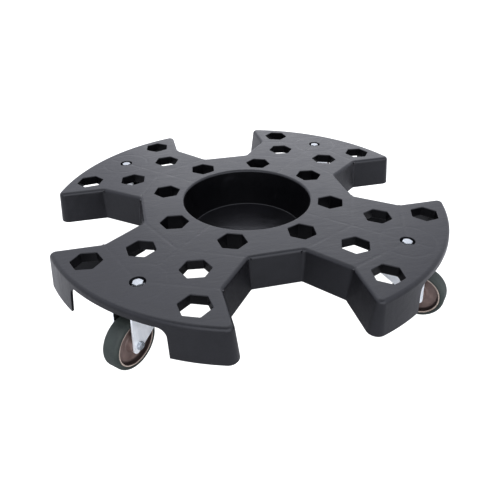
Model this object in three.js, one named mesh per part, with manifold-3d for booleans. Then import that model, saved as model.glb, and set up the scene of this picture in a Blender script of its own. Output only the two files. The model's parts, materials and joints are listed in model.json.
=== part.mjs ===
// A round four-lobed wheel dolly: one moulded platform on four swivel castors.
// Millimetres, +Z up. The origin is on the floor, under the middle of the platform.
// Notches open along +X, -X, +Y and -Y; a castor sits under each lobe at 45 degrees to them.
import * as THREE from "three";
import { mergeVertices } from "three/addons/utils/BufferGeometryUtils.js";
import Module from "manifold-3d";

const wasm = await Module();
wasm.setup();

// ---------------------------------------------------------------- driving dimensions

// Gap left between pieces that touch on the real object.
const GAP = 0.3;

// Castor: bolt-hole type with a 75 mm wheel.
const CASTOR_HEIGHT = 100;
const WHEEL_RADIUS = 37.5;
const WHEEL_WIDTH = 25;
const TRAIL = 30;
const CASTOR_CIRCLE = 265;

// Platform, measured down from the top of its deck.
const DECK_TOP = 114;
const DECK_THICKNESS = 4;
const SKIRT_DEPTH = 52;
const WALL = 3.5;
const DRAFT = 6;
const EDGE_ROUND = 6;
const LOBE_RADIUS = 315.5;
const LOBE_CORNER_ROUND = 8;

// Each notch is a half octagon: its end wall, two slanted walls and two parallel ones.
const NOTCH_END = 170.4;
const NOTCH_END_HALF = 40;
const NOTCH_SHOULDER = 228.5;
const NOTCH_HALF_WIDTH = 86.8;
const NOTCH_ROUND = 9;

// Bowl in the middle.
const BOWL_MOUTH_RADIUS = 103;
const BOWL_FLOOR_RADIUS = 97.5;
const BOWL_DEPTH = 66;
const BOWL_LIP_ROUND = 4;

// Hexagonal holes: distance from the middle, angle either side of the lobe's middle line,
// the direction that one flat of the hexagon faces, from that same line, and the depth of
// the collar round the hole, from the deck's top.
const HEX_ACROSS_FLATS = 38;
const HEX_COLLAR_WALL = 2.8;
const HEX_ROWS = [
  { radius: 135.7, angle: 22.5, flat: 22.5, collar: 26 },
  { radius: 211, angle: 12.75, flat: -22.5, collar: 15 },
  { radius: 280.4, angle: 18.65, flat: 22.5, collar: 15 },
];

// Boss and pocket for each castor bolt, and the ribs under the deck.
const BOSS_RADIUS = 30;
const POCKET_RADIUS = 10.5;
const POCKET_DEPTH = 7.5;
const BOLT_HOLE_RADIUS = 4.7;
const RIB_THICKNESS = 2.5;
const RIB_DEPTH = 14;
const BOSS_RING_RADIUS = 39;
const RIB_JUNCTION = 182;

// Opening in the outer skirt of each lobe, where the castor swings out.
const OPENING_TOP = 10.6;
const OPENING_HALF_TOP = 77.8;
const OPENING_HALF_BOTTOM = 82.5;
const OPENING_ROUND = 13.5;
const OPENING_START = 294;

// Mounting bolts are M8 and axle bolts are M6.
const M8 = { radius: 4, acrossFlats: 13, head: 5.3, nut: 6.5 };
const M6 = { radius: 3, acrossFlats: 10, head: 4, nut: 5 };
const MOUNTING_BOLT_END = 73;
const WASHER_RADIUS = 8.5;
const WASHER_THICKNESS = 1.3;
const LOCK_COLLAR = 1.2;
const LOCK_COLLAR_RADIUS = 4.5;
const THREAD_PAST_NUT = 1.3;

// Swivel head: heights above the floor, radii from the swivel axis.
const CROWN_TOP = 91;
const RACE_RADIUS = 28;
const RACE_SHEET = 2.3;
const RACE_LIP = 1.6;
const BALL_CIRCLE = 18;
const BALL_RADIUS = 1.7;
const RACEWAY_HALF = 5;
const RACEWAY_RISE = 2.4;
const RACEWAY_SLOPE = 1;
const KINGPIN_BORE = 4.4;
const KINGPIN_RADIUS = 6.6;
const KINGPIN_FLANGE_RADIUS = 9.5;
const KINGPIN_FLANGE = 2.2;
const KINGPIN_BOTTOM = 82.2;
const LOWER_RACE_RADIUS = 13;

// Fork of pressed steel. Across it are two parallel legs joined by the crown; from the side each
// leg runs from the crown's two ends to a rounded tip just below and in front of the axle.
const SHEET = 2.6;
const LEG_INSIDE = 14.2;
const CROWN_BEND = 4.5;
const CROWN_RADIUS = 25.5;
const CROWN_HOLE = 8.5;
const CROWN_FRONT = 34.5;
const CROWN_BACK = -25;
const LEG_BACK_LOW = 58.6;
const LEG_TIP_RADIUS = 6;
const LEG_TIP_FORWARD = 4.1;
const LEG_TIP_BELOW = 4.4;

// Wheel: radii and half widths about the axle.
const SLEEVE_RADIUS = 5;
const BUSH_RADIUS = 7;
const HUB_RADIUS = 12;
const HUB_FOOT = 1.2;
const HUB_HALF_WIDTH = 13.5;
const WEB_HALF_THICKNESS = 4;
const RIM_INNER = 28.4;
const RIM_OUTER = 31.7;
const RIM_HALF_WIDTH = 11.4;
const TREAD_LIP = 1.6;
const TREAD_SHOULDER_DROP = 1.8;
const TREAD_SHOULDER_SIDE = 1;
const TREAD_SHOULDER_WIDTH = 4.5;

// How finely round things are divided.
const WHEEL_SEGMENTS = 24;
const HEAD_SEGMENTS = 16;
const SMALL_SEGMENTS = 12;
const BALL_SEGMENTS = 5;
const BOWL_SEGMENTS = 40;
const LOBE_ARC_SEGMENTS = 12;
const CORNER_SEGMENTS = 3;
const NOTCH_CORNER_SEGMENTS = 2;

const LOBE_ANGLES = [45, 135, 225, 315];
const CASTOR_NAMES = ["rear_right", "rear_left", "front_left", "front_right"];

// ---------------------------------------------------------------- materials

const plastic = new THREE.MeshStandardMaterial({ color: 0x4b4d52, roughness: 0.5, metalness: 0 });
const zinc = new THREE.MeshStandardMaterial({ color: 0xc4c8cc, roughness: 0.32, metalness: 0.9 });
const steel = new THREE.MeshStandardMaterial({ color: 0x9a9ea3, roughness: 0.4, metalness: 0.9 });
const rubber = new THREE.MeshStandardMaterial({ color: 0x4a514e, roughness: 0.75, metalness: 0 });
const rimPlastic = new THREE.MeshStandardMaterial({ color: 0x5e4a46, roughness: 0.55, metalness: 0 });
const nylon = new THREE.MeshStandardMaterial({ color: 0xd8d6cc, roughness: 0.5, metalness: 0 });

// ---------------------------------------------------------------- helpers

const radians = (degrees) => THREE.MathUtils.degToRad(degrees);
const direction = (angle) => new THREE.Vector2(Math.cos(angle), Math.sin(angle));

/** Turns a closed three.js geometry into a manifold solid. */
function solid(geometry) {
  const bare = geometry.clone();
  bare.deleteAttribute("normal");
  bare.deleteAttribute("uv");
  const merged = mergeVertices(bare, 1e-4);
  return new wasm.Manifold(new wasm.Mesh({
    numProp: 3,
    vertProperties: new Float32Array(merged.attributes.position.array),
    triVerts: new Uint32Array(merged.index.array),
  }));
}

/** Turns a manifold solid back into a three.js geometry. */
function geometryOf(manifold) {
  const mesh = manifold.getMesh();
  const geometry = new THREE.BufferGeometry();
  geometry.setAttribute("position", new THREE.BufferAttribute(new Float32Array(mesh.vertProperties), 3));
  geometry.setIndex(new THREE.BufferAttribute(new Uint32Array(mesh.triVerts), 1));
  geometry.computeVertexNormals();
  return geometry;
}

/** A flat outline pushed up from one height to another. */
function prism(points, from, to) {
  const geometry = new THREE.ExtrudeGeometry(new THREE.Shape(points), {
    depth: to - from,
    bevelEnabled: false,
    curveSegments: CORNER_SEGMENTS,
  });
  geometry.translate(0, 0, from);
  return geometry;
}

/** A solid of revolution about Z. The profile is [radius, height] pairs, closed on itself or on the axis. */
function turned(profile, segments) {
  const closed = profile[0][0] === 0 ? profile : [...profile, profile[0]];
  const points = closed.map(([radius, height]) => new THREE.Vector2(radius, height));
  const geometry = new THREE.LatheGeometry(points, segments, Math.PI / segments);
  geometry.rotateX(Math.PI / 2);
  return geometry;
}

/** A turned ring or tube of plain rectangular section. */
function ring(inner, outer, from, to, segments) {
  return turned([[inner, from], [outer, from], [outer, to], [inner, to]], segments);
}

/** A plain disc or pin about Z. */
function disc(radius, from, to, segments) {
  return turned([[0, from], [radius, from], [radius, to], [0, to]], segments);
}

/** The corners of a hexagon with one flat facing the angle `flat`. */
function hexagon(acrossFlats, flat = 0) {
  const corner = acrossFlats / Math.sqrt(3);
  return [0, 1, 2, 3, 4, 5].map((i) => direction(flat + radians(30 + 60 * i)).multiplyScalar(corner));
}

/** Moves each geometry or point set round the four lobes. */
function atEachLobe(make) {
  return LOBE_ANGLES.map((angle) => make(radians(angle)));
}

// ---------------------------------------------------------------- platform outline

/** The angles from one to another in equal steps, both ends included. */
function steps(from, to, count) {
  return Array.from({ length: count + 1 }, (_, i) => from + ((to - from) * i) / count);
}

/** A corner that the outline rounds with its centre outside the platform. */
function inwardCorner(x, y, before, after) {
  const centre = direction(before).add(direction(after));
  centre.multiplyScalar(NOTCH_ROUND / (1 + Math.cos(after - before)));
  return {
    centre: centre.add(new THREE.Vector2(x, y)),
    round: -NOTCH_ROUND,
    facings: steps(before, after, NOTCH_CORNER_SEGMENTS),
  };
}

/**
 * The rounded corners along half a notch, from its end wall to the lobe's arc. Each has the
 * centre of its round, and the directions that the outline faces as it goes round it.
 */
function notchCorners() {
  const slantFacing = Math.atan2(NOTCH_END - NOTCH_SHOULDER, NOTCH_HALF_WIDTH - NOTCH_END_HALF);
  const across = NOTCH_HALF_WIDTH + LOBE_CORNER_ROUND;
  const along = Math.sqrt((LOBE_RADIUS - LOBE_CORNER_ROUND) ** 2 - across ** 2);
  const lobeCorner = new THREE.Vector2(along, across);
  return [
    inwardCorner(NOTCH_END, NOTCH_END_HALF, 0, slantFacing),
    inwardCorner(NOTCH_SHOULDER, NOTCH_HALF_WIDTH, slantFacing, -Math.PI / 2),
    {
      centre: lobeCorner,
      round: LOBE_CORNER_ROUND,
      facings: [...steps(-Math.PI / 2, 0, CORNER_SEGMENTS), lobeCorner.angle()],
    },
  ];
}

/** The platform's whole outline, moved outwards everywhere by `grow`. */
function platformOutline(grow) {
  const half = notchCorners().flatMap(({ centre, round, facings }) => (
    facings.map((facing) => direction(facing).multiplyScalar(round + grow).add(centre))
  ));
  const start = half.at(-1).angle();
  const arc = [];
  for (let i = 1; i < LOBE_ARC_SEGMENTS; i += 1) {
    const angle = start + ((Math.PI / 2 - 2 * start) * i) / LOBE_ARC_SEGMENTS;
    arc.push(direction(angle).multiplyScalar(LOBE_RADIUS + grow));
  }
  const mirrored = half.map((p) => new THREE.Vector2(p.y, p.x)).reverse();
  const quarter = [...half, ...arc, ...mirrored];
  const centre = new THREE.Vector2();
  return [0, 1, 2, 3].flatMap((turn) => (
    quarter.map((p) => p.clone().rotateAround(centre, (turn * Math.PI) / 2))
  ));
}

/** A closed solid through outlines of equal length, from the lowest level up. */
function loft(levels) {
  const count = levels[0].points.length;
  const positions = levels.flatMap(({ points, height }) => points.flatMap((p) => [p.x, p.y, height]));
  const index = [];
  for (let level = 0; level < levels.length - 1; level += 1) {
    for (let i = 0; i < count; i += 1) {
      const a = level * count + i;
      const b = level * count + ((i + 1) % count);
      index.push(a, b, b + count, a, b + count, a + count);
    }
  }
  const top = (levels.length - 1) * count;
  for (const [a, b, c] of THREE.ShapeUtils.triangulateShape(levels[0].points, [])) {
    index.push(c, b, a);
  }
  for (const [a, b, c] of THREE.ShapeUtils.triangulateShape(levels.at(-1).points, [])) {
    index.push(top + a, top + b, top + c);
  }
  const geometry = new THREE.BufferGeometry();
  geometry.setAttribute("position", new THREE.Float32BufferAttribute(positions, 3));
  geometry.setIndex(index);
  return geometry;
}

// ---------------------------------------------------------------- platform

const heightBelowDeck = (depth) => DECK_TOP - depth;
const draftAt = (depth) => (DRAFT * depth) / SKIRT_DEPTH;

/** The outside of the deck and skirt as one block, with its top edge rounded. */
function platformBlock() {
  const chamfer = EDGE_ROUND * (1 - Math.SQRT1_2);
  const level = (depth, inset) => ({
    points: platformOutline(draftAt(depth) - inset),
    height: heightBelowDeck(depth),
  });
  return loft([level(SKIRT_DEPTH, 0), level(EDGE_ROUND, 0), level(chamfer, chamfer), level(0, EDGE_ROUND)]);
}

/** The hollow under the deck, open below. */
function platformHollow() {
  const level = (depth) => ({
    points: platformOutline(draftAt(depth) - WALL),
    height: heightBelowDeck(depth),
  });
  return loft([level(SKIRT_DEPTH + WALL), level(DECK_THICKNESS)]);
}

/** The bowl's shell, before its inside is cut. */
function bowlBody() {
  const floor = heightBelowDeck(BOWL_DEPTH);
  const deck = heightBelowDeck(DECK_THICKNESS / 2);
  return turned([
    [0, floor - WALL],
    [BOWL_FLOOR_RADIUS + WALL / 2, floor - WALL],
    [BOWL_FLOOR_RADIUS + WALL, floor - WALL / 2],
    [BOWL_MOUTH_RADIUS + WALL, deck],
    [0, deck],
  ], BOWL_SEGMENTS);
}

/** The space inside the bowl, with the rounded lip at its mouth. */
function bowlInside() {
  const floor = heightBelowDeck(BOWL_DEPTH);
  return turned([
    [0, floor],
    [BOWL_FLOOR_RADIUS - WALL, floor],
    [BOWL_FLOOR_RADIUS, floor + WALL],
    [BOWL_MOUTH_RADIUS, heightBelowDeck(BOWL_LIP_ROUND)],
    [BOWL_MOUTH_RADIUS + BOWL_LIP_ROUND, heightBelowDeck(0)],
    [BOWL_MOUTH_RADIUS + BOWL_LIP_ROUND, DECK_TOP + WALL],
    [0, DECK_TOP + WALL],
  ], BOWL_SEGMENTS);
}

/** Every hexagonal hole as { x, y, flat, bottom }, in the platform's frame. */
function hexPlaces() {
  const places = [];
  for (const lobe of LOBE_ANGLES) {
    for (const row of HEX_ROWS) {
      for (const side of [-1, 1]) {
        const at = direction(radians(lobe + side * row.angle)).multiplyScalar(row.radius);
        const bottom = heightBelowDeck(row.collar);
        places.push({ x: at.x, y: at.y, flat: radians(lobe + side * row.flat), bottom });
      }
    }
  }
  return places;
}

/** A hexagonal prism at each hexagonal hole, from `below` its collar's lower end up to `top`. */
function hexPrisms(acrossFlats, below, top) {
  return hexPlaces().map(({ x, y, flat, bottom }) => (
    prism(hexagon(acrossFlats, flat), bottom - below, top).translate(x, y, 0)
  ));
}

/** A straight rib under the deck between two points given along and across a lobe. */
function rib(alongA, acrossA, alongB, acrossB, lobe) {
  const length = Math.hypot(alongB - alongA, acrossB - acrossA);
  const geometry = new THREE.BoxGeometry(length, RIB_THICKNESS, RIB_DEPTH - DECK_THICKNESS / 2);
  geometry.rotateZ(Math.atan2(acrossB - acrossA, alongB - alongA));
  const middle = heightBelowDeck((RIB_DEPTH + DECK_THICKNESS / 2) / 2);
  geometry.translate((alongA + alongB) / 2, (acrossA + acrossB) / 2, middle);
  return geometry.rotateZ(lobe);
}

/** The ribs of one lobe: one along it, and braces to the notch corners on both sides. */
function lobeRibs(lobe) {
  const along = (x, y) => (x + y) * Math.SQRT1_2;
  const across = (x, y) => (y - x) * Math.SQRT1_2;
  const inner = [along(NOTCH_END, NOTCH_END_HALF), across(NOTCH_END, NOTCH_END_HALF)];
  const outer = [along(NOTCH_SHOULDER, NOTCH_HALF_WIDTH), across(NOTCH_SHOULDER, NOTCH_HALF_WIDTH)];
  const insideWall = LOBE_RADIUS - WALL / 2;
  const ribs = [
    rib(BOWL_MOUTH_RADIUS + WALL / 2, 0, CASTOR_CIRCLE - BOSS_RADIUS + WALL, 0, lobe),
    rib(CASTOR_CIRCLE + BOSS_RADIUS - WALL, 0, insideWall, 0, lobe),
  ];
  for (const side of [-1, 1]) {
    ribs.push(rib(RIB_JUNCTION, 0, inner[0] - WALL, side * (inner[1] + WALL), lobe));
    const reach = Math.hypot(outer[0] - CASTOR_CIRCLE, outer[1]);
    const start = (BOSS_RADIUS - WALL) / reach;
    ribs.push(rib(
      CASTOR_CIRCLE + (outer[0] - CASTOR_CIRCLE) * start,
      side * outer[1] * start,
      outer[0],
      side * (outer[1] + WALL / 2),
      lobe,
    ));
  }
  return ribs;
}

/** Places a geometry made about Z on the castor circle of one lobe. */
function onCastorCircle(geometry, lobe) {
  return geometry.translate(CASTOR_CIRCLE, 0, 0).rotateZ(lobe);
}

/** The opening in a lobe's outer skirt: flared sides and rounded upper corners. */
function skirtOpening(lobe) {
  const top = heightBelowDeck(OPENING_TOP);
  const bottom = heightBelowDeck(SKIRT_DEPTH + WALL);
  const shape = new THREE.Shape();
  shape.moveTo(-OPENING_HALF_BOTTOM, bottom);
  shape.lineTo(OPENING_HALF_BOTTOM, bottom);
  shape.lineTo(OPENING_HALF_TOP, top - OPENING_ROUND);
  shape.quadraticCurveTo(OPENING_HALF_TOP, top, OPENING_HALF_TOP - OPENING_ROUND, top);
  shape.lineTo(OPENING_ROUND - OPENING_HALF_TOP, top);
  shape.quadraticCurveTo(-OPENING_HALF_TOP, top, -OPENING_HALF_TOP, top - OPENING_ROUND);
  const reach = LOBE_RADIUS + DRAFT + WALL - OPENING_START;
  const geometry = new THREE.ExtrudeGeometry(shape, {
    depth: reach,
    bevelEnabled: false,
    curveSegments: CORNER_SEGMENTS,
  });
  geometry.rotateX(Math.PI / 2).rotateZ(Math.PI / 2);
  return geometry.translate(OPENING_START, 0, 0).rotateZ(lobe);
}

/** The platform moulding: deck, skirt, bowl, collars, bosses and ribs in one piece. */
function platformMoulding() {
  const underDeck = heightBelowDeck(DECK_THICKNESS / 2);
  const ribBottom = heightBelowDeck(RIB_DEPTH);
  const collar = HEX_ACROSS_FLATS + 2 * HEX_COLLAR_WALL;
  const added = [
    bowlBody(),
    ...hexPrisms(collar, 0, underDeck),
    ...atEachLobe((lobe) => onCastorCircle(disc(BOSS_RADIUS, ribBottom, underDeck, HEAD_SEGMENTS), lobe)),
    ...atEachLobe((lobe) => onCastorCircle(ring(
      BOSS_RING_RADIUS - RIB_THICKNESS / 2,
      BOSS_RING_RADIUS + RIB_THICKNESS / 2,
      ribBottom,
      underDeck,
      HEAD_SEGMENTS,
    ), lobe)),
    ...atEachLobe(lobeRibs).flat(),
  ];
  const cut = [
    bowlInside(),
    ...hexPrisms(HEX_ACROSS_FLATS, WALL, DECK_TOP + WALL),
    ...atEachLobe((lobe) => onCastorCircle(
      disc(POCKET_RADIUS, heightBelowDeck(POCKET_DEPTH), DECK_TOP + WALL, HEAD_SEGMENTS),
      lobe,
    )),
    ...atEachLobe((lobe) => onCastorCircle(
      disc(BOLT_HOLE_RADIUS, ribBottom - WALL, DECK_TOP, SMALL_SEGMENTS),
      lobe,
    )),
    ...atEachLobe(skirtOpening),
  ];
  let body = solid(platformBlock()).subtract(solid(platformHollow()));
  for (const geometry of added) {
    body = body.add(solid(geometry));
  }
  for (const geometry of cut) {
    body = body.subtract(solid(geometry));
  }
  return geometryOf(body);
}

// ---------------------------------------------------------------- castor head

const HEAD_TOP = CASTOR_HEIGHT - GAP;
const KINGPIN_FLANGE_TOP = KINGPIN_BOTTOM + KINGPIN_FLANGE;

/** A hexagonal nut's blank or a bolt's head about Z. */
function hexBlock(size, from, to) {
  return prism(hexagon(size.acrossFlats), from, to);
}

/** A hexagonal nut about Z. */
function nut(size, from) {
  const to = from + size.nut;
  const bore = disc(size.radius + GAP, from - GAP, to + GAP, SMALL_SEGMENTS);
  return geometryOf(solid(hexBlock(size, from, to)).subtract(solid(bore)));
}

/** A hexagonal bolt about Z: its head stands on `seat` and its shank goes down to `end`. */
function bolt(size, seat, end) {
  const shank = disc(size.radius, end, seat + GAP, SMALL_SEGMENTS);
  return geometryOf(solid(hexBlock(size, seat, seat + size.head)).add(solid(shank)));
}

/** The upper race, a pressed cap over the balls that stays still with the platform. */
function upperRace() {
  const under = HEAD_TOP - RACE_SHEET;
  const skirtBottom = CROWN_TOP + GAP;
  return turned([
    [KINGPIN_RADIUS + GAP, under],
    [RACE_RADIUS - 2 * RACE_SHEET, under],
    [RACE_RADIUS - RACE_LIP, under - RACE_SHEET / 2],
    [RACE_RADIUS - RACE_LIP, skirtBottom],
    [RACE_RADIUS, skirtBottom],
    [RACE_RADIUS, under],
    [RACE_RADIUS - RACE_SHEET, HEAD_TOP],
    [KINGPIN_RADIUS + GAP, HEAD_TOP],
  ], HEAD_SEGMENTS);
}

/** The balls and their cage as one ring. */
function ballRing() {
  const top = HEAD_TOP - RACE_SHEET - GAP;
  const geometry = new THREE.TorusGeometry(BALL_CIRCLE, BALL_RADIUS, BALL_SEGMENTS, HEAD_SEGMENTS);
  return geometry.translate(0, 0, top - BALL_RADIUS);
}

/** The hollow rivet that holds the races together. */
function kingpin() {
  return turned([
    [KINGPIN_BORE, KINGPIN_BOTTOM],
    [KINGPIN_FLANGE_RADIUS, KINGPIN_BOTTOM],
    [KINGPIN_FLANGE_RADIUS, KINGPIN_FLANGE_TOP],
    [KINGPIN_RADIUS, KINGPIN_FLANGE_TOP],
    [KINGPIN_RADIUS, HEAD_TOP],
    [KINGPIN_BORE, HEAD_TOP],
  ], SMALL_SEGMENTS);
}

/** The lower race, held against the underside of the crown. */
function lowerRace() {
  const from = KINGPIN_FLANGE_TOP + GAP;
  const to = CROWN_TOP - SHEET - GAP;
  return ring(KINGPIN_RADIUS + GAP, LOWER_RACE_RADIUS, from, to, HEAD_SEGMENTS);
}

// ---------------------------------------------------------------- fork

const LEG_OUTSIDE = LEG_INSIDE + SHEET;
const LEG_TIP = new THREE.Vector2(TRAIL + LEG_TIP_FORWARD, WHEEL_RADIUS - LEG_TIP_BELOW);

/** The fork's cross-section: an upside-down U, rounded where the legs leave the crown. */
function channelSection() {
  const lowest = LEG_TIP.y - 2 * LEG_TIP_RADIUS;
  const half = (across, top, bend) => [
    [across, lowest],
    [across, top - bend],
    [across - bend * (1 - Math.SQRT1_2), top - bend * (1 - Math.SQRT1_2)],
    [across - bend, top],
  ];
  const outside = half(LEG_OUTSIDE, CROWN_TOP, CROWN_BEND);
  const inside = half(LEG_INSIDE, CROWN_TOP - SHEET, CROWN_BEND - SHEET);
  const mirrored = (points) => points.map(([y, z]) => [-y, z]);
  const path = [...outside, ...mirrored(outside).reverse(), ...mirrored(inside), ...inside.reverse()];
  return path.map(([y, z]) => new THREE.Vector2(y, z));
}

/** Where the line from `point` to the leg's tip touches the tip's round, as an angle about it. */
function tipTangent(point, side) {
  const away = point.clone().sub(LEG_TIP);
  return away.angle() + side * Math.acos(LEG_TIP_RADIUS / away.length());
}

/** The fork seen from the side: wide under the crown, narrowing to a rounded tip. */
function legOutline() {
  const top = CROWN_TOP + SHEET;
  const front = new THREE.Vector2(CROWN_FRONT, top);
  const back = new THREE.Vector2(CROWN_BACK, LEG_BACK_LOW);
  const shape = new THREE.Shape();
  shape.moveTo(front.x, front.y);
  shape.lineTo(CROWN_BACK, top);
  shape.lineTo(back.x, back.y);
  shape.absarc(LEG_TIP.x, LEG_TIP.y, LEG_TIP_RADIUS, tipTangent(back, 1), tipTangent(front, -1), false);
  return shape;
}

/** The crown's dish, with a raised raceway for the balls to run on. */
function crownDish() {
  const low = CROWN_TOP - SHEET;
  const raceTop = CROWN_TOP + RACEWAY_RISE;
  return turned([
    [CROWN_HOLE, low],
    [CROWN_RADIUS, low],
    [CROWN_RADIUS, CROWN_TOP],
    [BALL_CIRCLE + RACEWAY_HALF, CROWN_TOP],
    [BALL_CIRCLE + RACEWAY_HALF - RACEWAY_SLOPE, raceTop],
    [BALL_CIRCLE - RACEWAY_HALF + RACEWAY_SLOPE, raceTop],
    [BALL_CIRCLE - RACEWAY_HALF, CROWN_TOP],
    [CROWN_HOLE, CROWN_TOP],
  ], HEAD_SEGMENTS);
}

/** Turns a geometry made about Z so that it lies about the axle. */
function alongAxle(geometry) {
  return geometry.rotateX(-Math.PI / 2).translate(TRAIL, 0, WHEEL_RADIUS);
}

/** The fork: a U-shaped pressing cut to the leg outline, with the crown's dish. */
function forkPressing() {
  const channel = new THREE.ExtrudeGeometry(new THREE.Shape(channelSection()), {
    depth: 2 * (TRAIL + RACE_RADIUS),
    bevelEnabled: false,
  });
  channel.rotateX(Math.PI / 2).rotateZ(Math.PI / 2).translate(-RACE_RADIUS, 0, 0);
  const reach = 2 * LEG_OUTSIDE;
  const side = new THREE.ExtrudeGeometry(legOutline(), {
    depth: 2 * reach,
    bevelEnabled: false,
    curveSegments: 2 * CORNER_SEGMENTS,
  });
  side.rotateX(Math.PI / 2).translate(0, reach, 0);
  const kingpinHole = disc(CROWN_HOLE, WHEEL_RADIUS, DECK_TOP, HEAD_SEGMENTS);
  const axleHole = alongAxle(disc(M6.radius + GAP, -reach, reach, SMALL_SEGMENTS));
  const body = solid(channel)
    .intersect(solid(side))
    .add(solid(crownDish()))
    .subtract(solid(kingpinHole))
    .subtract(solid(axleHole));
  return geometryOf(body);
}

// ---------------------------------------------------------------- wheel and axle

/** Circumscribes a many-sided wheel about its true radius, so that it rests on a flat facet. */
const onFlats = (radius) => radius / Math.cos(Math.PI / WHEEL_SEGMENTS);

/** The moulded wheel centre: hub, thin web and rim ring. */
function wheelRim() {
  const half = [
    [BUSH_RADIUS + GAP, HUB_HALF_WIDTH],
    [HUB_RADIUS, HUB_HALF_WIDTH],
    [HUB_RADIUS + HUB_FOOT, WEB_HALF_THICKNESS + HUB_FOOT],
    [RIM_INNER - HUB_FOOT, WEB_HALF_THICKNESS],
    [RIM_INNER, RIM_HALF_WIDTH],
    [onFlats(RIM_OUTER), RIM_HALF_WIDTH],
  ];
  const other = half.map(([radius, height]) => [radius, -height]);
  return alongAxle(turned([...other, ...[...half].reverse()], WHEEL_SEGMENTS));
}

/** The tyre: a band with a flat running face and rounded shoulders. */
function wheelTread() {
  const half = WHEEL_WIDTH / 2;
  const shoulder = [
    [onFlats(RIM_OUTER + GAP), RIM_HALF_WIDTH],
    [onFlats(RIM_OUTER + TREAD_LIP), half],
    [onFlats(WHEEL_RADIUS - TREAD_SHOULDER_DROP), half - TREAD_SHOULDER_SIDE],
    [onFlats(WHEEL_RADIUS), half - TREAD_SHOULDER_WIDTH],
  ];
  const other = shoulder.map(([radius, height]) => [radius, -height]);
  return alongAxle(turned([...other, ...[...shoulder].reverse()], WHEEL_SEGMENTS));
}

/** The plain bush pressed in the hub, which turns on the sleeve. */
function wheelBush() {
  return alongAxle(ring(SLEEVE_RADIUS + GAP, BUSH_RADIUS, -HUB_HALF_WIDTH, HUB_HALF_WIDTH, SMALL_SEGMENTS));
}

/** The spacer sleeve clamped between the fork's legs. */
function axleSleeve() {
  const half = LEG_INSIDE - GAP;
  return alongAxle(ring(M6.radius + GAP, SLEEVE_RADIUS, -half, half, SMALL_SEGMENTS));
}

/** The axle bolt, whose head is on one leg and whose thread ends past the lock nut. */
function axleBolt() {
  const seat = LEG_OUTSIDE + GAP;
  return alongAxle(bolt(M6, seat, -(seat + M6.nut + LOCK_COLLAR + THREAD_PAST_NUT)));
}

/** The lock nut on the far leg: a hexagon with a round collar. */
function axleNut() {
  const seat = LEG_OUTSIDE + GAP;
  const top = seat + M6.nut;
  const bore = M6.radius + GAP;
  const collar = ring(bore, LOCK_COLLAR_RADIUS, top - GAP, top + LOCK_COLLAR, SMALL_SEGMENTS);
  const body = solid(nut(M6, seat)).add(solid(collar));
  return alongAxle(geometryOf(body).rotateX(Math.PI));
}

// ---------------------------------------------------------------- assembly

/** The pieces of one castor, each as [name, geometry, material], about its own swivel axis. */
function castorPieces() {
  const washerLow = heightBelowDeck(POCKET_DEPTH) + GAP;
  const washerTop = washerLow + WASHER_THICKNESS;
  return [
    ["mounting_bolt", bolt(M8, washerTop + GAP, MOUNTING_BOLT_END), zinc],
    ["washer", ring(M8.radius + GAP, WASHER_RADIUS, washerLow, washerTop, HEAD_SEGMENTS), zinc],
    ["upper_race", upperRace(), zinc],
    ["kingpin", kingpin(), steel],
    ["lower_race", lowerRace(), zinc],
    ["mounting_nut", nut(M8, KINGPIN_BOTTOM - GAP - M8.nut), zinc],
    ["fork", forkPressing(), zinc],
    ["ball_ring", ballRing(), steel],
    ["axle_bolt", axleBolt(), zinc],
    ["axle_nut", axleNut(), zinc],
    ["axle_sleeve", axleSleeve(), steel],
    ["wheel_rim", wheelRim(), rimPlastic],
    ["wheel_tread", wheelTread(), rubber],
    ["wheel_bush", wheelBush(), nylon],
  ];
}

function named(name, geometry, material) {
  const mesh = new THREE.Mesh(geometry, material);
  mesh.name = name;
  return mesh;
}

const dolly = new THREE.Group();
dolly.add(named("platform", platformMoulding(), plastic));

const pieces = castorPieces();
LOBE_ANGLES.forEach((degrees, i) => {
  const angle = radians(degrees);
  const castor = new THREE.Group();
  castor.position.set(CASTOR_CIRCLE * Math.cos(angle), CASTOR_CIRCLE * Math.sin(angle), 0);
  castor.rotation.z = angle;
  for (const [name, geometry, material] of pieces) {
    castor.add(named(`${CASTOR_NAMES[i]}_${name}`, geometry, material));
  }
  dolly.add(castor);
});

export default dolly;
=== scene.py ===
"""Looks for the wheel dolly: a fine moulded platform, four detailed castors, materials and light.

Lengths are in millimetres until a mesh is made; every mesh is in metres, in the frame of the CAD.
"""
import json
import math

import bpy
from mathutils import Matrix, Vector
from mathutils.geometry import delaunay_2d_cdt

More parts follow.
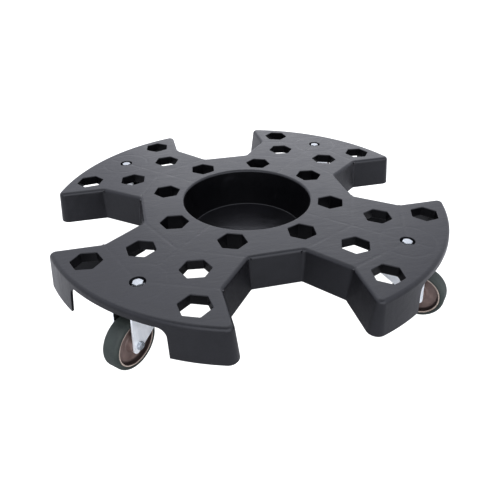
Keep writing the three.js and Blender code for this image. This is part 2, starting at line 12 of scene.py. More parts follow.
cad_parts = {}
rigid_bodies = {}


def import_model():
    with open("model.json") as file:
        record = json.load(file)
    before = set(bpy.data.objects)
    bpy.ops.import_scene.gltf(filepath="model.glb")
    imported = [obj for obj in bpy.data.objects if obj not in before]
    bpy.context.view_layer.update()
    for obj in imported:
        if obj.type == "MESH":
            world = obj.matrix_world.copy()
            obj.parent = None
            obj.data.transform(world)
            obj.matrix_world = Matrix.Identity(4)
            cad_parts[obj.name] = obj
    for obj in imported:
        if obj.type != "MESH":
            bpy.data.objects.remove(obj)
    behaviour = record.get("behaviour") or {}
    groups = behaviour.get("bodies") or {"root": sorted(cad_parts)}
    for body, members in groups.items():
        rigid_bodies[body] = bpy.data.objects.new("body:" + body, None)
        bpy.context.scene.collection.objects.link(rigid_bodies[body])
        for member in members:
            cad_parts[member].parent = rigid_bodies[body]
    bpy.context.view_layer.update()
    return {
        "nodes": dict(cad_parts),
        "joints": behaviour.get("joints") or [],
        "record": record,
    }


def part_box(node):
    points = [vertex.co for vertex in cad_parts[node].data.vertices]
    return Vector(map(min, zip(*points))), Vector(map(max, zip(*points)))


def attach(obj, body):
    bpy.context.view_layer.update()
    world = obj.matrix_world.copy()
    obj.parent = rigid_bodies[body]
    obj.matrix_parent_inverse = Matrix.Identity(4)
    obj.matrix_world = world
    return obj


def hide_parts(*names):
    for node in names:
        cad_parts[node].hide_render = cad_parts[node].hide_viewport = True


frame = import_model()

MM = 0.001
TAU = 2 * math.pi

# -------------------- dimensions, in millimetres

DECK_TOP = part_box("platform")[1].z / MM
DECK_THICKNESS = 4.0
SKIRT_DEPTH = 52.0
WALL = 3.5
DRAFT = 6.0
EDGE_ROUND = 6.0
RIM_ROUND = 0.9
LOBE_RADIUS = 315.5
LOBE_CORNER_ROUND = 8.0

NOTCH_END = 170.4
NOTCH_END_HALF = 40.0
NOTCH_SHOULDER = 228.5
NOTCH_HALF_WIDTH = 86.8
NOTCH_ROUND = 9.0

BOWL_MOUTH_RADIUS = 103.0
BOWL_FLOOR_RADIUS = 97.5
BOWL_DEPTH = 66.0
BOWL_LIP_ROUND = 4.0
BOWL_FLOOR_ROUND = 2.2
BOWL_OUTSIDE_ROUND = 2.5

HEX_ACROSS_FLATS = 38.0
HEX_COLLAR_WALL = 2.8
HEX_CORNER_ROUND = 2.2
HEX_EDGE_ROUND = 1.3
HEX_COLLAR_CHAMFER = 0.5

# Rows of hexagonal holes: radius, angle from the lobe's middle, facing, and depth of the collar.
HEX_ROWS = ((135.7, 22.5, 22.5, 26.0), (211.0, 12.75, -22.5, 15.0), (280.4, 18.65, 22.5, 15.0))

CASTOR_CIRCLE = 265.0
BOSS_RADIUS = 30.0
BOSS_CHAMFER = 0.6
POCKET_RADIUS = 10.5
POCKET_DEPTH = 7.5
POCKET_ROUND = 0.8
POCKET_LIP = 0.25
BOLT_HOLE_RADIUS = 4.7
RIB_THICKNESS = 2.5
RIB_DEPTH = 14.0
BOSS_RING_RADIUS = 39.0
RIB_JUNCTION = 182.0

OPENING_TOP = 10.6
OPENING_HALF_TOP = 77.8
OPENING_HALF_BOTTOM = 82.5
OPENING_ROUND = 13.5
OPENING_START = 294.0

# Marks that the ribs leave on the deck.
SINK_WIDTH = 4.5
SINK_DEPTH = 0.22
SINK_FADE = 4.0
SINK_START = 6.0

# How far below the deck and above its floor the bowl's wall takes painted shade, and how far from
# its middle a hexagonal hole's wall does, as a share of the distance across its flats.
BOWL_LIP_MARGIN = 8.0
BOWL_FLOOR_MARGIN = 1.0
HEX_REACH = 0.6

LOBE_ANGLES = (45.0, 135.0, 225.0, 315.0)
CASTORS = ("rear_right", "rear_left", "front_left", "front_right")
BOWL_COUNT = 144


# -------------------- camera and light
# Angles are in degrees, distances in metres and powers in watts.

# Bearing and height of the camera from the middle of the deck, and those that it looks back along.
CAMERA_PLACE = (-13.547, 27.608)
CAMERA_AIM = (-13.916, 33.922)
CAMERA_DISTANCE = 0.8006
CAMERA_ROLL = -0.344
CAMERA_LENS = 34.837

# Studio brightness against height (the sine of the angle above the floor): two heights, and
# the brightness or factor at each. The walls brighten upwards, and the ceiling is dim.
WALL_LIGHT = (0.38, 0.68, 0.97, 1.5)
CEILING_LIGHT = (0.72, 1.0, 1.0, 0.2)
WORLD_COLOUR = (0.915, 0.925, 1.0, 1.0)

# Softboxes: name, place, target, size and power.
SOFTBOXES = (
    ("overhead", (0.0, 0.5, 1.9), (0, 0, 0.1), (2.0, 2.0), 9.0),
    ("back_softbox", (0.8, 2.4, 1.15), (0.1, 0.1, 0.1), (2.0, 1.5), 5.0),
    ("front_fill", (0.0, -2.4, 1.2), (0, 0, 0.05), (5.0, 2.2), 32.0),
)
FLOOR_HALF = 20000.0
FLOOR_DROP = 0.2
FLOOR_ALBEDO = 0.6
FLOOR_GLOW = 1.1
FLOOR_WHITENESS = 0.7
EXPOSURE = 0.58
CONTRAST_GAMMA = 0.81


# -------------------- small helpers

def polar(radius, angle):
    return (radius * math.cos(angle), radius * math.sin(angle))


def quarter_turn(steps):
    """Angles from 0 to a quarter turn."""
    return [math.radians(90 * k / steps) for k in range(steps + 1)]


def turned_point(x, y, angle):
    c, s = math.cos(angle), math.sin(angle)
    return (x * c - y * s, x * s + y * c)


def add_object(name, data):
    obj = bpy.data.objects.new(name, data)
    bpy.context.scene.collection.objects.link(obj)
    return obj


def link(name, verts, faces, material, smooth_angle=38.0):
    """A mesh object from points in millimetres, shaded smooth except over sharp edges."""
    mesh = bpy.data.meshes.new(name)
    mesh.from_pydata([(x * MM, y * MM, z * MM) for x, y, z in verts], [], faces)
    mesh.validate()
    obj = add_object(name, mesh)
    if material is not None:
        mesh.materials.append(material)
    finish_shading(obj, smooth_angle)
    return obj


def finish_shading(obj, smooth_angle):
    mesh = obj.data
    mesh.polygons.foreach_set("use_smooth", [True] * len(mesh.polygons))
    mesh.set_sharp_from_angle(angle=math.radians(smooth_angle))


def weighted_normals(obj):
    """Large flat faces stay flat-looking beside the narrow rounded edges."""
    modifier = obj.modifiers.new("weighted_normals", "WEIGHTED_NORMAL")
    modifier.keep_sharp = True
    modifier.weight = 50
    modifier.mode = "FACE_AREA"


class Shell:
    """Collects rings of points and the faces between them."""

    def __init__(self):
        self.verts = []
        self.faces = []

    def ring(self, points, z):
        start = len(self.verts)
        self.verts.extend((x, y, z) for x, y in points)
        return list(range(start, len(self.verts)))

    def bridge(self, lower, upper):
        """Quads that face outwards when both rings run anticlockwise and upper is above lower."""
        count = len(lower)
        for i in range(count):
            j = (i + 1) % count
            self.faces.append((lower[i], lower[j], upper[j], upper[i]))

    def chain(self, levels, inside_out=False):
        """Rings from (points, z) levels, each bridged to the next."""
        rings = [self.ring(points, z) for points, z in levels]
        for first, second in zip(rings, rings[1:]):
            self.bridge(*((second, first) if inside_out else (first, second)))
        return rings

    def fan(self, ring, point, facing_up):
        """Triangles from a ring to one point."""
        centre = len(self.verts)
        self.verts.append(point)
        for k in range(len(ring)):
            a, b = ring[k], ring[(k + 1) % len(ring)]
            self.faces.append((a, b, centre) if facing_up else (b, a, centre))

    def plate(self, outer, holes, facing_up):
        """Triangles that fill a flat region between an outer ring and the rings of its holes."""
        loops = [outer] + holes
        ids = [i for loop in loops for i in loop]
        coords = [Vector(self.verts[i][:2]) for i in ids]
        edges = []
        start = 0
        for loop in loops:
            edges += [(start + k, start + (k + 1) % len(loop)) for k in range(len(loop))]
            start += len(loop)
        out_coords, _, faces, origins, _, _ = delaunay_2d_cdt(coords, edges, [], 0, 1e-6)
        polygons = [[self.verts[i][:2] for i in loop] for loop in loops]
        for face in faces:
            middle = sum((out_coords[k] for k in face), Vector((0, 0))) / len(face)
            if not inside(polygons[0], middle) or any(inside(p, middle) for p in polygons[1:]):
                continue
            corners = tuple(ids[origins[k][0]] for k in face)
            self.faces.append(corners if facing_up else corners[::-1])


def inside(polygon, point):
    """Whether a point is inside a polygon."""
    x, y = point
    odd = False
    for i in range(len(polygon)):
        (x0, y0), (x1, y1) = polygon[i - 1], polygon[i]
        if (y0 > y) != (y1 > y) and x < (x1 - x0) * (y - y0) / (y1 - y0) + x0:
            odd = not odd
    return odd


def circle(radius, count, cx=0.0, cy=0.0):
    return [(cx + radius * math.cos(TAU * k / count), cy + radius * math.sin(TAU * k / count))
            for k in range(count)]


def rounded_corner(corners, i, radius, segments):
    """Points round the corner i of an anticlockwise convex polygon."""
    before, here, after = (Vector(corners[(i + k) % len(corners)]) for k in (-1, 0, 1))
    into, out = (here - before).normalized(), (after - here).normalized()
    half = math.acos(max(-1, min(1, into.dot(out)))) / 2
    centre = here - into * radius * math.tan(half) + Vector((-into.y, into.x)) * radius
    start = math.atan2(-into.x, into.y)
    angles = [start + 2 * half * k / segments for k in range(segments + 1)]
    return [tuple(centre + Vector((math.cos(angle), math.sin(angle))) * radius) for angle in angles]


def rounded_polygon(corners, radius, segments):
    """An anticlockwise convex polygon whose corners are rounded."""
    return [point for i in range(len(corners)) for point in rounded_corner(corners, i, radius, segments)]


def hexagon(across_flats, flat, corner_round, segments, cx, cy):
    corner = across_flats / math.sqrt(3)
    corners = [polar(corner, flat + math.radians(30 + 60 * k)) for k in range(6)]
    return [(cx + x, cy + y) for x, y in rounded_polygon(corners, corner_round, segments)]


# -------------------- platform

def notch_corners():
    """Rounded corners along half a notch: middle, signed radius, facing before and after, segments."""
    slant = math.atan2(NOTCH_END - NOTCH_SHOULDER, NOTCH_HALF_WIDTH - NOTCH_END_HALF)

    def inward(x, y, before, after):
        scale = NOTCH_ROUND / (1 + math.cos(after - before))
        cx = x + scale * (math.cos(before) + math.cos(after))
        cy = y + scale * (math.sin(before) + math.sin(after))
        return cx, cy, -NOTCH_ROUND, before, after, 8

    up = NOTCH_HALF_WIDTH + LOBE_CORNER_ROUND
    across = math.sqrt((LOBE_RADIUS - LOBE_CORNER_ROUND) ** 2 - up ** 2)
    return [
        inward(NOTCH_END, NOTCH_END_HALF, 0.0, slant),
        inward(NOTCH_SHOULDER, NOTCH_HALF_WIDTH, slant, -math.pi / 2),
        (across, up, LOBE_CORNER_ROUND, -math.pi / 2, math.atan2(up, across), 14),
    ]


def outline(grow):
    """The platform's outline moved outwards by grow, anticlockwise."""
    half = []
    for cx, cy, radius, before, after, segments in notch_corners():
        for k in range(segments + 1):
            facing = before + (after - before) * k / segments
            x, y = polar(radius + grow, facing)
            half.append((cx + x, cy + y))
    start = math.atan2(half[-1][1], half[-1][0])
    count = 44
    arc = [polar(LOBE_RADIUS + grow, start + (math.pi / 2 - 2 * start) * k / count)
           for k in range(1, count)]
    quarter = half + arc + [(y, x) for x, y in reversed(half)]
    return [turned_point(x, y, turn * math.pi / 2) for turn in range(4) for x, y in quarter]


def draft_at(depth):
    return DRAFT * depth / SKIRT_DEPTH


def rib_ends():
    """The inner and outer corner of a notch, each as (along, across) the lobe beside it."""
    root = math.sqrt(0.5)
    return [((x + y) * root, (x - y) * root)
            for x, y in ((NOTCH_END, NOTCH_END_HALF), (NOTCH_SHOULDER, NOTCH_HALF_WIDTH))]


def hex_places():
    """Middle, facing and collar's lower end of every hexagonal hole."""
    for lobe in LOBE_ANGLES:
        for radius, angle, flat, depth in HEX_ROWS:
            for side in (-1, 1):
                x, y = polar(radius, math.radians(lobe + side * angle))
                yield x, y, math.radians(lobe + side * flat), DECK_TOP - depth


def skin_levels():
    """From the foot of the inner wall, round the lower rim, up the skirt and over onto the deck."""
    slope = math.atan2(DRAFT, SKIRT_DEPTH)
    bottom = DECK_TOP - SKIRT_DEPTH
    outer = draft_at(SKIRT_DEPTH)
    inner = outer - WALL
    levels = [(inner + RIM_ROUND * (1 - math.cos(a)), bottom + RIM_ROUND * (1 - math.sin(a)))
              for a in quarter_turn(4)]
    levels += [(outer - RIM_ROUND * (1 - math.sin(a)), bottom + RIM_ROUND * (1 - math.cos(a)))
               for a in quarter_turn(4)]
    centre = draft_at(EDGE_ROUND * (1 - math.sin(slope))) - EDGE_ROUND * math.cos(slope)
    steps = 9
    for k in range(steps + 1):
        a = slope + (math.pi / 2 - slope) * k / steps
        levels.append((centre + EDGE_ROUND * math.cos(a), DECK_TOP - EDGE_ROUND * (1 - math.sin(a))))
    return levels


def inner_levels():
    """From the underside of the deck into the inner wall, round a small fillet."""
    under = DECK_TOP - DECK_THICKNESS
    fillet = 2.5
    wall = draft_at(DECK_THICKNESS) - WALL
    return [(wall - fillet * (1 - math.sin(a)), under - fillet * (1 - math.cos(a)))
            for a in quarter_turn(4)]


def platform_shell():
    """Deck, skirt, bowl, collars and bosses as one closed mesh, without ribs or skirt openings."""
    shell = Shell()
    under = DECK_TOP - DECK_THICKNESS
    skin = shell.chain([(outline(grow), z) for grow, z in inner_levels() + skin_levels()])
    top_holes, under_holes = [], []

    hex_lip = [(HEX_EDGE_ROUND * (1 - math.cos(a)), DECK_TOP - HEX_EDGE_ROUND * (1 - math.sin(a)))
               for a in quarter_turn(3)]
    wall, chamfer = HEX_COLLAR_WALL, HEX_COLLAR_CHAMFER
    for x, y, flat, low in hex_places():
        hex_path = [(wall, under), (wall, low + chamfer), (wall - chamfer, low), (chamfer, low),
                    (0.0, low + chamfer)] + hex_lip
        rings = shell.chain([(hexagon(HEX_ACROSS_FLATS + 2 * g, flat, HEX_CORNER_ROUND + g, 4, x, y), z)
                             for g, z in hex_path], inside_out=True)
        under_holes.append(rings[0])
        top_holes.append(rings[-1])

    boss_low = DECK_TOP - RIB_DEPTH
    pocket = DECK_TOP - POCKET_DEPTH
    boss_path = [(BOSS_RADIUS, under), (BOSS_RADIUS, boss_low + BOSS_CHAMFER),
                 (BOSS_RADIUS - BOSS_CHAMFER, boss_low), (BOLT_HOLE_RADIUS, boss_low),
                 (BOLT_HOLE_RADIUS, pocket), (POCKET_RADIUS - POCKET_ROUND, pocket),
                 (POCKET_RADIUS, pocket + POCKET_ROUND), (POCKET_RADIUS, DECK_TOP - POCKET_ROUND),
                 (POCKET_RADIUS + POCKET_LIP, DECK_TOP - POCKET_LIP),
                 (POCKET_RADIUS + POCKET_ROUND, DECK_TOP)]
    for lobe in LOBE_ANGLES:
        x, y = polar(CASTOR_CIRCLE, math.radians(lobe))
        rings = shell.chain([(circle(radius, 48, x, y), z) for radius, z in boss_path], inside_out=True)
        under_holes.append(rings[0])
        top_holes.append(rings[-1])

    top_holes.append(bowl_inside(shell))
    under_holes.append(bowl_outside(shell, under))
    shell.plate(skin[-1], top_holes, True)
    shell.plate(skin[0], under_holes, False)
    return shell


def bowl_inside(shell):
    """The bowl's rounded lip, tapered wall and flat floor. Gives back its ring in the deck."""
    floor = DECK_TOP - BOWL_DEPTH
    lip, toe = BOWL_LIP_ROUND, BOWL_FLOOR_ROUND
    path = [(BOWL_MOUTH_RADIUS + lip * (1 - math.sin(a)), DECK_TOP - lip * (1 - math.cos(a)))
            for a in quarter_turn(8)]
    path += [(BOWL_FLOOR_RADIUS - toe * (1 - math.cos(a)), floor + toe * (1 - math.sin(a)))
             for a in quarter_turn(5)]
    path += [(radius, floor) for radius in (80.0, 50.0, 20.0)]
    rings = shell.chain([(circle(radius, BOWL_COUNT), z) for radius, z in path])
    shell.fan(rings[-1], (0, 0, floor), True)
    return rings[0]


def bowl_outside(shell, under):
    """The outside of the bowl below the deck. Gives back its ring under the deck."""
    low = DECK_TOP - BOWL_DEPTH - WALL
    wall, toe = BOWL_FLOOR_RADIUS + WALL, BOWL_OUTSIDE_ROUND
    path = [(BOWL_MOUTH_RADIUS + WALL, under)]
    path += [(wall - toe * (1 - math.cos(a)), low + toe * (1 - math.sin(a))) for a in quarter_turn(5)]
    path += [(radius, low) for radius in (70.0, 30.0)]
    rings = shell.chain([(circle(radius, BOWL_COUNT), z) for radius, z in path], inside_out=True)
    shell.fan(rings[-1], (0, 0, low), False)
    return rings[0]


def box_between(a, b, width, low, high, lobe):
    """A rib: a box along the line from a to b, given along and across a lobe."""
    ax, ay = a
    bx, by = b
    length = math.hypot(bx - ax, by - ay)
    nx, ny = -(by - ay) / length * width / 2, (bx - ax) / length * width / 2
    corners = [(ax - nx, ay - ny), (bx - nx, by - ny), (bx + nx, by + ny), (ax + nx, ay + ny)]
    corners = [turned_point(x, y, lobe) for x, y in corners]
    verts = [(x, y, low) for x, y in corners] + [(x, y, high) for x, y in corners]
    return verts, prism_faces(4)


def prism_faces(count):
    """The faces of a prism whose points are its lower ring and then its upper ring."""
    sides = [(k, (k + 1) % count, count + (k + 1) % count, count + k) for k in range(count)]
    return [tuple(range(count))[::-1], tuple(range(count, 2 * count))] + sides


def rib_pieces():
    """Every rib and boss ring under the deck, as closed (verts, faces) pieces."""
    low, high = DECK_TOP - RIB_DEPTH, DECK_TOP - DECK_THICKNESS / 2
    inner, outer = rib_ends()
    near, far = BOSS_RING_RADIUS - RIB_THICKNESS / 2, BOSS_RING_RADIUS + RIB_THICKNESS / 2
    ring = [(near, high), (near, low), (far, low), (far, high)]
    pieces = []
    for degrees in LOBE_ANGLES:
        lobe = math.radians(degrees)
        spans = [((BOWL_MOUTH_RADIUS + WALL / 2, 0), (CASTOR_CIRCLE - BOSS_RADIUS + WALL, 0)),
                 ((CASTOR_CIRCLE + BOSS_RADIUS - WALL, 0), (LOBE_RADIUS - WALL / 2, 0))]
        for side in (-1, 1):
            spans.append(((RIB_JUNCTION, 0), (inner[0] - WALL, side * (inner[1] + WALL))))
            reach = math.hypot(outer[0] - CASTOR_CIRCLE, outer[1])
            start = (BOSS_RADIUS - WALL) / reach
            spans.append(((CASTOR_CIRCLE + (outer[0] - CASTOR_CIRCLE) * start, side * outer[1] * start),
                          (outer[0], side * (outer[1] + WALL / 2))))
        pieces += [box_between(a, b, RIB_THICKNESS, low, high, lobe) for a, b in spans]
        pieces.append(merged(lathe(ring, 64, *polar(CASTOR_CIRCLE, lobe))))
    return pieces


def opening_cutter(lobe):
    """A prism that cuts the opening in a lobe's skirt: flared sides, rounded upper corners."""
    top = DECK_TOP - OPENING_TOP
    low = DECK_TOP - SKIRT_DEPTH - WALL
    corners = [(-OPENING_HALF_BOTTOM, low), (OPENING_HALF_BOTTOM, low), (OPENING_HALF_TOP, top),
               (-OPENING_HALF_TOP, top)]
    shape = corners[:2] + [point for i in (2, 3) for point in rounded_corner(corners, i, OPENING_ROUND, 10)]
    verts = [(*turned_point(along, across, lobe), z)
             for along in (OPENING_START, LOBE_RADIUS + 3 * DRAFT) for across, z in shape]
    return verts, prism_faces(len(shape))


def combine(obj, pieces, operation):
    """Joins closed pieces to an object's mesh, or cuts them from it, one after another."""
    for k, (verts, faces) in enumerate(pieces):
        tool = link(f"tool_{k}", verts, faces, None)
        modifier = obj.modifiers.new(tool.name, "BOOLEAN")
        modifier.operation = operation
        modifier.solver = "MANIFOLD"
        modifier.object = tool
    apply_modifiers(obj)
    for tool in [o for o in bpy.context.scene.objects if o.name.startswith("tool_")]:
        mesh = tool.data
        bpy.data.objects.remove(tool)
        bpy.data.meshes.remove(mesh)


def apply_modifiers(obj):
    """Replaces an object's mesh by the result of its modifiers."""
    bpy.context.view_layer.update()
    evaluated = obj.evaluated_get(bpy.context.evaluated_depsgraph_get())
    made = bpy.data.meshes.new_from_object(evaluated)
    old = obj.data
    obj.modifiers.clear()
    obj.data = made
    bpy.data.meshes.remove(old)


def gets_painted_shade(point, hexes):
    """Whether a point lies on the bowl's wall or on the wall of a hexagonal hole, which take painted shade.
    """
    x, y, z = point
    if z > DECK_TOP - HEX_EDGE_ROUND:
        return False
    foot = DECK_TOP - BOWL_DEPTH + BOWL_FLOOR_MARGIN
    if math.hypot(x, y) < BOWL_MOUTH_RADIUS and foot < z < DECK_TOP - BOWL_LIP_MARGIN:
        return True
    return any(math.hypot(x - cx, y - cy) < HEX_ACROSS_FLATS * HEX_REACH for cx, cy, _, _ in hexes)


def make_platform(material, shaded_material):
    shell = platform_shell()
    obj = link("platform_moulding", shell.verts, shell.faces, material)
    combine(obj, rib_pieces(), "UNION")
    combine(obj, [opening_cutter(math.radians(a)) for a in LOBE_ANGLES], "DIFFERENCE")
    # The walls of the bowl and of the hexagonal holes get a darker, less glossy copy of the plastic:
    # painted shade.
    obj.data.materials.clear()
    obj.data.materials.append(material)
    obj.data.materials.append(shaded_material)
    hexes = list(hex_places())
    for polygon in obj.data.polygons:
        polygon.material_index = int(gets_painted_shade(polygon.center / MM, hexes))
    finish_shading(obj, 32.0)
    weighted_normals(obj)
    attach(obj, "platform")
    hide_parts("platform")


# -------------------- castors

HEAD_TOP = 99.7
CROWN_TOP = 91.0
SHEET = 2.6
SHEET_EDGE_ROUND = 0.4
LEG_MIDDLE = 15.5
CROWN_BEND_MIDDLE = 3.2
CROWN_BACK = -25.0
CROWN_FRONT = 34.5
LEG_BACK_LOW = 58.6
LEG_TIP_RADIUS = 6.0
TRAIL = 30.0
WHEEL_RADIUS = 37.5
LEG_TIP = Vector((TRAIL + 4.1, WHEEL_RADIUS - 4.4))
WHEEL_HALF_WIDTH = 12.5
TREAD_SHOULDER = 5.2
RIM_RADIUS = 31.9
RIM_HALF_WIDTH = 11.9
RIM_LIP_ROUND = 0.8
RIM_DISH_ROUND = 3.2
HUB_BORE = 7.3
HUB_RADIUS = 11.4
HUB_HALF_WIDTH = 13.5
HUB_ROUND = 0.8
HUB_FOOT_ROUND = 2.5
WEB_HALF = 4.2

# Where the pale ring on the rim's lip starts, and the band of painted shade on the wall of the dish inside
# it.
RING_INSIDE = 29.7
RING_HALF_WIDTH = 10.6
DISH_SHADE_BAND = (26.2, 28.5, 29.4, 29.8)

GAP = 0.3
WASHER_THICKNESS = 1.3
WASHER_RADIUS = 8.5
BOLT_CLEARANCE = 4.4
HEAD_OVERLAP = 1.0
MOUNTING_BOLT_END = 73.0
MOUNTING_THREAD_TOP = 84.0
AXLE_THREAD = 8.0
AXLE_END_PROUD = 2.5
LOCK_COLLAR_RADIUS = 4.5
LOCK_COLLAR_HEIGHT = 1.2
LOCK_COLLAR_ROUND = 1.0

CAP_SHEET = 2.3
CAP_BORE = 6.9
CAP_FLAT = 21.5
CAP_INSIDE = 25.8
CAP_OUTSIDE = 28.0
CAP_LOW = 91.5
CAP_ROUND = 5.0
CAP_INSIDE_ROUND = 2.6
CAP_EDGE_ROUND = 0.6

KINGPIN_LOW = 82.2
KINGPIN_RADIUS = 6.6
KINGPIN_FLANGE = 8.6
KINGPIN_FLANGE_ROUND = 0.9

# How squarely a face of the fork must look at the wheel or down to take the darker zinc of painted shade.
INNER_FACING = 0.7

DISH_BORE = 8.5
DISH_RADIUS = 25.5
DISH_EDGE_ROUND = 0.5
DISH_FOOT = (12.6, 23.6)
RACEWAY = (14.6, 21.4)
RACEWAY_HEIGHT = 1.2

# Which zinc a fastener is made of. The other pieces take the material of their slot.
FASTENERS = {"mounting_bolt": "bolt", "washer": "bolt", "mounting_nut": "fastener",
             "axle_bolt": "fastener", "axle_nut": "fastener"}

# A hexagon head's flat end as a share of its width, and the slope of its chamfer in degrees.
HEAD_FLAT_SHARE = 0.955
HEAD_CHAMFER = 28.0
HEAD_COUNT = 72

# A thread's depth, and where in a turn it leaves the core, reaches and leaves its crest and is
# back at the core, all as shares of the pitch.
THREAD_DEPTH = 0.43
THREAD_TURN = (0.0, 0.36, 0.52, 0.88)
ROD_CHAMFER = 0.6
M8 = {"radius": 4.0, "flats": 13.0, "head": 5.3, "nut": 6.5, "pitch": 1.25}
M6 = {"radius": 3.0, "flats": 10.0, "head": 4.0, "nut": 5.0, "pitch": 1.0}


def about_axle(verts):
    """Turns points made about Z so that they lie about the axle."""
    return [(TRAIL + x, z, WHEEL_RADIUS - y) for x, y, z in verts]


def lathe(profile, count, cx=0.0, cy=0.0):
    """A body of revolution about a vertical axis from (radius, height) points, anticlockwise."""
    shell = Shell()
    rings = shell.chain([(circle(radius, count, cx, cy), z) for radius, z in profile])
    shell.bridge(rings[-1], rings[0])
    return shell


def arc(cx, cy, radius, start, end, steps):
    """Points along an arc, with its angles in degrees."""
    return [(cx + radius * math.cos(math.radians(start + (end - start) * k / steps)),
             cy + radius * math.sin(math.radians(start + (end - start) * k / steps)))
            for k in range(steps + 1)]


def hexagon_ring(shell, across_flats, heights):
    """A ring of points round a hexagon, at a height that depends on the distance from its middle."""
    start = len(shell.verts)
    for k in range(HEAD_COUNT):
        angle = TAU * k / HEAD_COUNT
        radius = across_flats / 2 / math.cos((angle + math.pi / 6) % (math.pi / 3) - math.pi / 6)
        shell.verts.append((*polar(radius, angle), heights(radius)))
    return list(range(start, start + HEAD_COUNT))


def hex_body(size, low, high, bore, chamfer_low):
    """A hexagon bolt head or nut with chamfered corners. A bore of 0 gives a closed head."""
    shell = Shell()
    flat = HEAD_FLAT_SHARE * size["flats"] / 2
    slope = math.tan(math.radians(HEAD_CHAMFER))

    def upper(radius):
        return high - max(0.0, radius - flat) * slope

    def lower(radius):
        return low + (max(0.0, radius - flat) * slope if chamfer_low else 0.0)

    middle, edge = circle(bore or 0.6 * flat, HEAD_COUNT), circle(flat, HEAD_COUNT)
    rings = [shell.ring(middle, low), shell.ring(edge, low),
             hexagon_ring(shell, size["flats"], lower), hexagon_ring(shell, size["flats"], upper),
             shell.ring(edge, high), shell.ring(middle, high)]
    for first, second in zip(rings, rings[1:]):
        shell.bridge(first, second)
    if bore:
        shell.bridge(rings[-1], rings[0])
    else:
        shell.fan(rings[-1], (0, 0, high), True)
        shell.fan(rings[0], (0, 0, low), False)
    return shell


def threaded_rod(size, low, high, thread_top):
    """A bolt's shank with a chamfered end and turned threads from the end up to thread_top."""
    radius, pitch = size["radius"], size["pitch"]
    core, crest = radius - THREAD_DEPTH * pitch, radius - 0.05
    path = [(core - ROD_CHAMFER, low), (core, low + ROD_CHAMFER)]
    z = low + 1.0
    while z + pitch < thread_top:
        path += [(r, z + share * pitch) for r, share in zip((core, crest, crest, core), THREAD_TURN)]
        z += pitch
    path += [(radius, z + 0.4 * pitch), (radius, high)]
    shell = Shell()
    rings = shell.chain([(circle(r, 32), height) for r, height in path])
    shell.fan(rings[0], (0, 0, low), False)
    shell.fan(rings[-1], (0, 0, high), True)
    return shell


def merged(*shells):
    """Several shells as one list of points and faces."""
    verts, faces = [], []
    for shell in shells:
        offset = len(verts)
        verts += shell.verts
        faces += [tuple(i + offset for i in face) for face in shell.faces]
    return verts, faces


def tip_tangent(point, side):
    """Where the line from a point to the leg's tip touches the tip's round."""
    away = Vector(point) - LEG_TIP
    facing = math.atan2(away.y, away.x) + side * math.acos(LEG_TIP_RADIUS / away.length)
    return LEG_TIP + Vector(polar(LEG_TIP_RADIUS, facing))


def leg_range(z):
    """How far the fork reaches back and forward at height z."""
    back_touch = tip_tangent((CROWN_BACK, LEG_BACK_LOW), 1)
    front_touch = tip_tangent((CROWN_FRONT, CROWN_TOP + SHEET), -1)
    level = max(-1.0, min(1.0, (z - LEG_TIP.y) / LEG_TIP_RADIUS))
    half = LEG_TIP_RADIUS * math.sqrt(1 - level * level)
    back, front = LEG_TIP.x - half, LEG_TIP.x + half
    if z > back_touch.y:
        share = min(1.0, (z - back_touch.y) / (LEG_BACK_LOW - back_touch.y))
        back = back_touch.x + (CROWN_BACK - back_touch.x) * share
    if z > front_touch.y:
        share = (z - front_touch.y) / (CROWN_TOP + SHEET - front_touch.y)
        front = front_touch.x + (CROWN_FRONT - front_touch.x) * share
    return back, front


def fork_sheet():
    """The fork as a bent sheet: rows of points, from one leg's tip over the crown to the other's."""
    middle = CROWN_TOP - SHEET / 2
    bend = CROWN_BEND_MIDDLE
    rows = [((LEG_MIDDLE - bend) * k / 5, middle) for k in range(5)]
    rows += arc(LEG_MIDDLE - bend, middle - bend, bend, 90, 0, 6)
    for high, low, count in ((middle - bend, LEG_BACK_LOW, 8), (LEG_BACK_LOW, LEG_TIP.y, 10)):
        rows += [(LEG_MIDDLE, high + (low - high) * k / count) for k in range(1, count + 1)]
    rows += [(LEG_MIDDLE, LEG_TIP.y - LEG_TIP_RADIUS * math.sin(math.radians(11 * k))) for k in range(1, 9)]
    both = [(-y, z) for y, z in reversed(rows)] + rows[1:]
    columns = 16
    verts = []
    for y, z in both:
        back, front = leg_range(z)
        verts += [(back + (front - back) * (0.5 - 0.5 * math.cos(math.pi * k / columns)), y, z)
                  for k in range(columns + 1)]
    starts = [r * (columns + 1) + k for r in range(len(both) - 1) for k in range(columns)]
    return verts, [(a, a + columns + 1, a + columns + 2, a + 1) for a in starts]


def make_fork(name, material):
    verts, faces = fork_sheet()
    obj = link(name, verts, faces, material)
    solidify = obj.modifiers.new("sheet", "SOLIDIFY")
    solidify.thickness = SHEET * MM
    solidify.offset = 0.0
    solidify.use_even_offset = True
    bevel = obj.modifiers.new("edges", "BEVEL")
    bevel.width = SHEET_EDGE_ROUND * MM
    bevel.segments = 2
    bevel.limit_method = "ANGLE"
    bevel.angle_limit = math.radians(50)
    apply_modifiers(obj)
    finish_shading(obj, 40.0)
    return obj


def mounting_bolt(head_low):
    return merged(hex_body(M8, head_low, head_low + M8["head"], 0, False),
                  threaded_rod(M8, MOUNTING_BOLT_END, head_low + HEAD_OVERLAP, MOUNTING_THREAD_TOP))


def washer(low, high):
    """A stamped washer: a chamfered lower edge and a softer upper one."""
    bore, radius = BOLT_CLEARANCE, WASHER_RADIUS
    return merged(lathe([(bore, low), (radius - 0.2, low), (radius, low + 0.2), (radius, high - 0.35),
                         (radius - 0.3, high), (bore + 0.2, high), (bore, high - 0.2)], 64))


